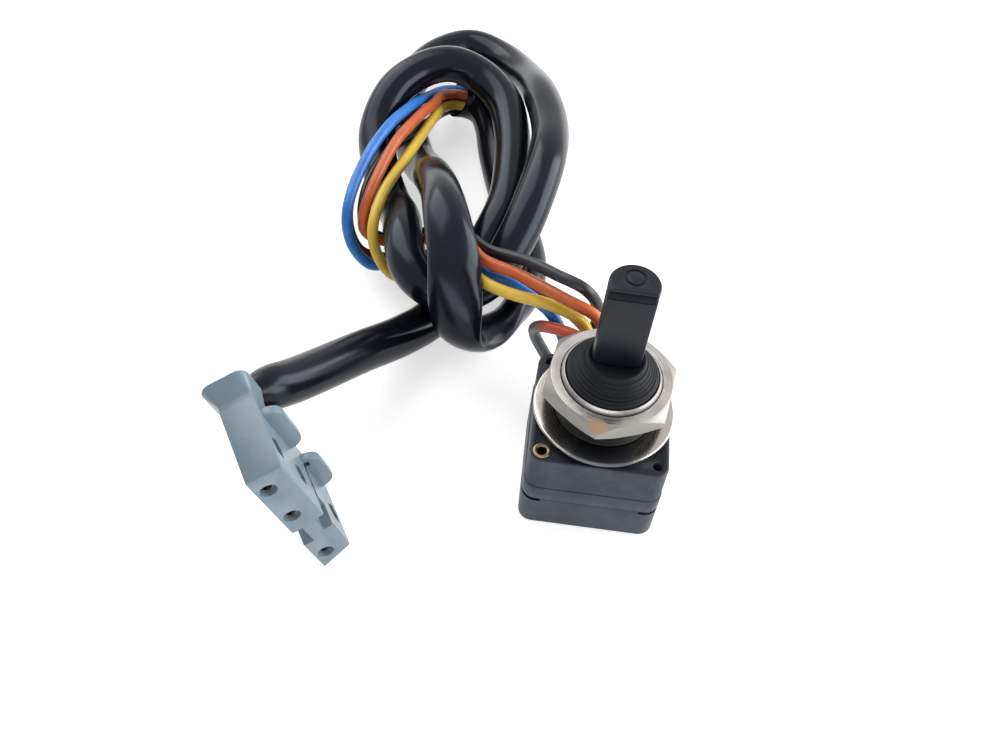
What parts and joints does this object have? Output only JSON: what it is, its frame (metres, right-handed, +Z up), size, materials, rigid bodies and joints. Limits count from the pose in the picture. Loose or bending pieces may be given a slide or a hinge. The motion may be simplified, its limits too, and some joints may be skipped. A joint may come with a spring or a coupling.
{
  "type": "lever potentiometer with lead",
  "caption": "Square black lever potentiometer with threaded bushing, washer, hex nut, flat-fronted lever and a coiled sleeved lead ending in a flat connector.",
  "frame": {"origin": "bottom centre of the square housing", "axes": "+Z up along the bushing and the lever, +Y towards the rear wall that the wires leave by, X along the lever's pivot pin"},
  "size_m": [0.0886, 0.1778, 0.0598],
  "materials": {
    "housing_black": "moulded matt",
    "lever_black": "moulded matt",
    "brass": "plain",
    "nickel": "nickel plate",
    "steel": "plain",
    "rubber_black": "soft",
    "inner_grey": "moulded",
    "board_green": "laminate",
    "carbon": "printed",
    "wire_yellow": "extruded",
    "wire_blue": "extruded",
    "wire_orange": "extruded",
    "wire_black": "extruded",
    "wire_red": "extruded",
    "sleeve_black": "extruded, glossy",
    "grey_blue": "moulded, semi-gloss"
  },
  "bodies": {
    "housing": {"base_cover": "housing_black", "upper_housing": "housing_black", "eyelet": "brass", "bushing": "nickel", "sealing_ring": "rubber_black", "washer": "nickel", "hex_nut": "nickel", "rubber_boot": "rubber_black", "pivot_pin": "steel", "rotor_shaft": "steel", "resistor_board": "board_green", "resistor_track": "carbon", "terminals": "nickel", "return_spring": "steel", "wire_gland": "rubber_black", "yellow_wire": "wire_yellow", "blue_wire": "wire_blue", "orange_wire": "wire_orange", "black_wire": "wire_black", "red_wire": "wire_red", "link_wire": "wire_orange", "cable_sleeve": "sleeve_black", "connector_body": "grey_blue", "connector_hood": "grey_blue", "socket_contacts": "steel"},
    "lever": {"lever": "lever_black", "lever_cap": "lever_black", "lever_stem": "steel"},
    "rotor": {"rotor": "inner_grey", "wiper": "brass"}
  },
  "joints": [
    {"name": "lever_tilt", "type": "hinge", "parent": "housing", "child": "lever", "pos_m": [0, 0, 0.027], "axis": [1, 0, 0], "range_deg": [-15, 15], "stiffness_Nm_per_rad": 0.05, "deforming": ["rubber_boot"]},
    {"name": "rotor_turn", "type": "hinge", "parent": "housing", "child": "rotor", "pos_m": [0, 0, 0.007], "axis": [1, 0, 0], "range_deg": [-14.5, 14.5], "deforming": ["return_spring"]}
  ],
  "couplings": [
    {"joint": "rotor_turn", "follows": "lever_tilt", "ratio": -0.96}
  ]
}
